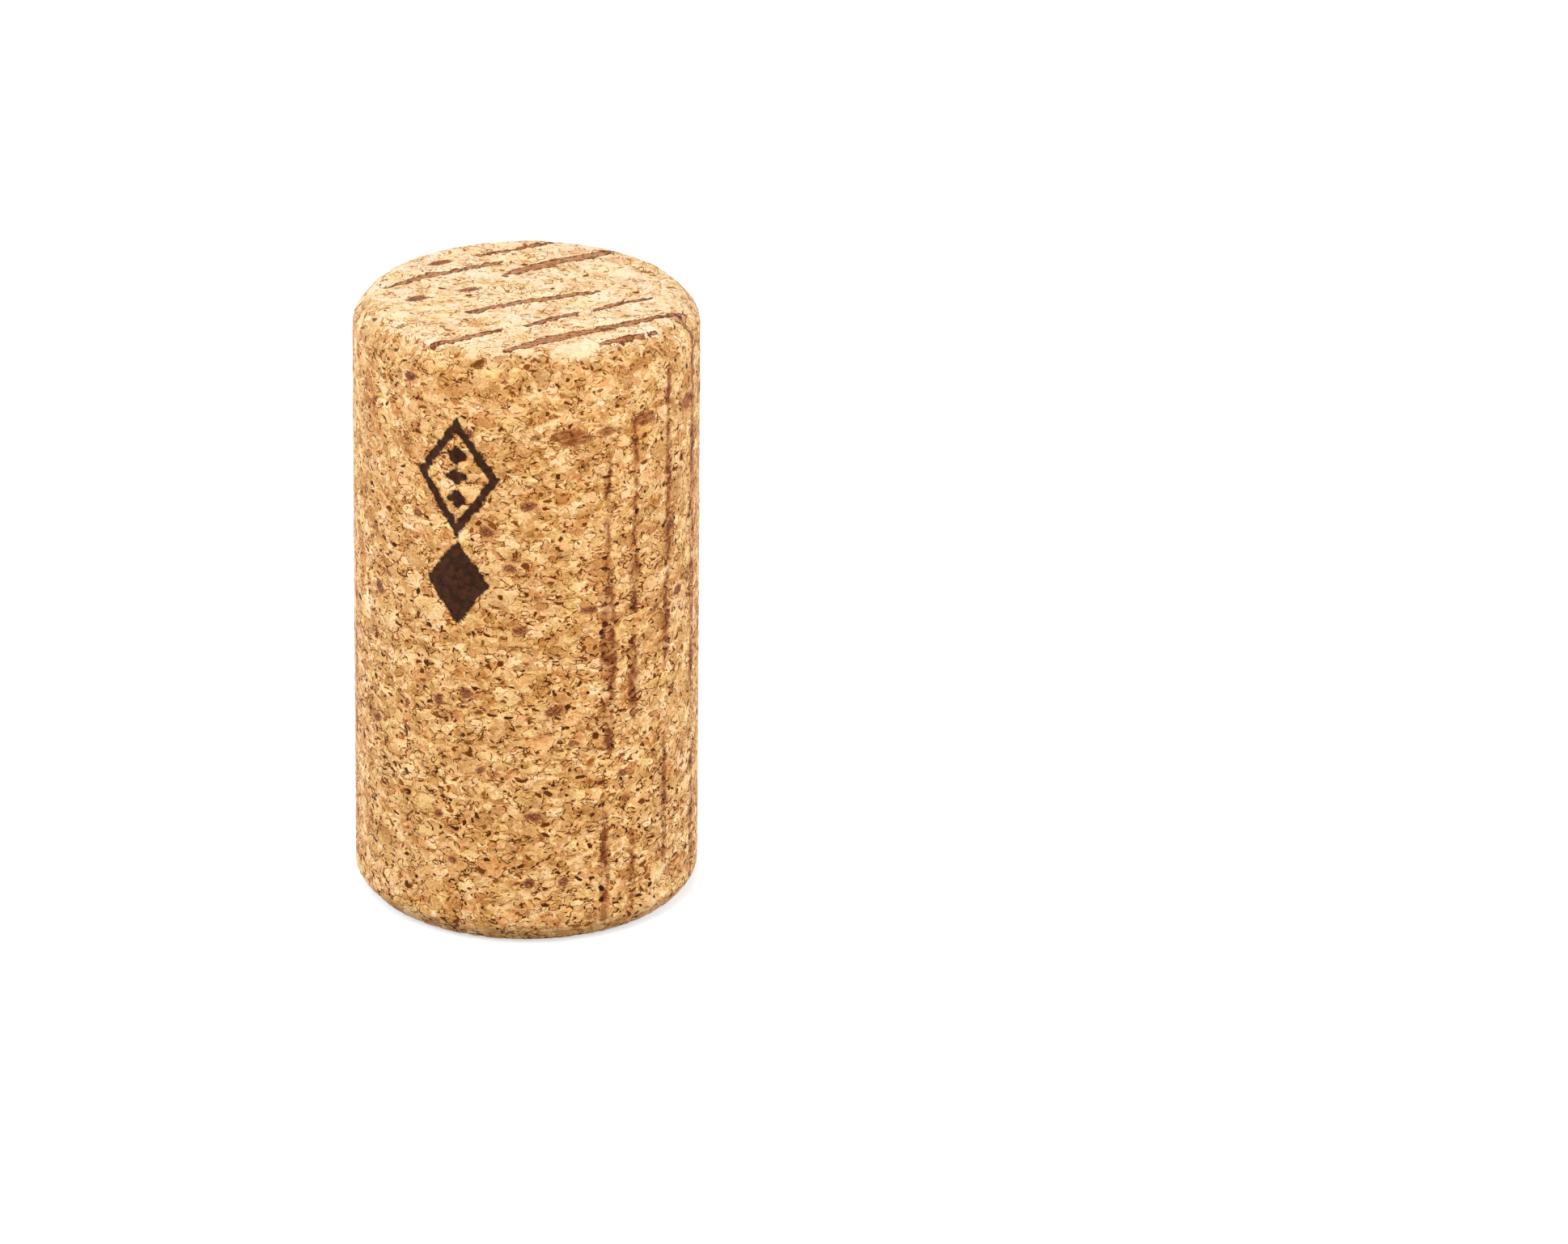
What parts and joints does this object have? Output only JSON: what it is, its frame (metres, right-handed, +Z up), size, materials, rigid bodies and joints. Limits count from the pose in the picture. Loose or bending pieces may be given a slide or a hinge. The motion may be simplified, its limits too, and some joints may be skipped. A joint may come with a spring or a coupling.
{
  "type": "wine cork",
  "caption": "Straight cylindrical stopper moulded from glued cork granules, with bevelled and rounded ends, for a standard wine bottle neck.",
  "frame": {"origin": "centre of the foot, the flat end face that the cork stands on", "axes": "+Z up the cork's axis from the foot to the head; +X and +Y are equal across the round section"},
  "size_m": [0.024, 0.024, 0.044],
  "materials": {
    "cork": "matte granulated cork"
  },
  "bodies": {
    "root": {"cork": "cork"}
  },
  "joints": []
}
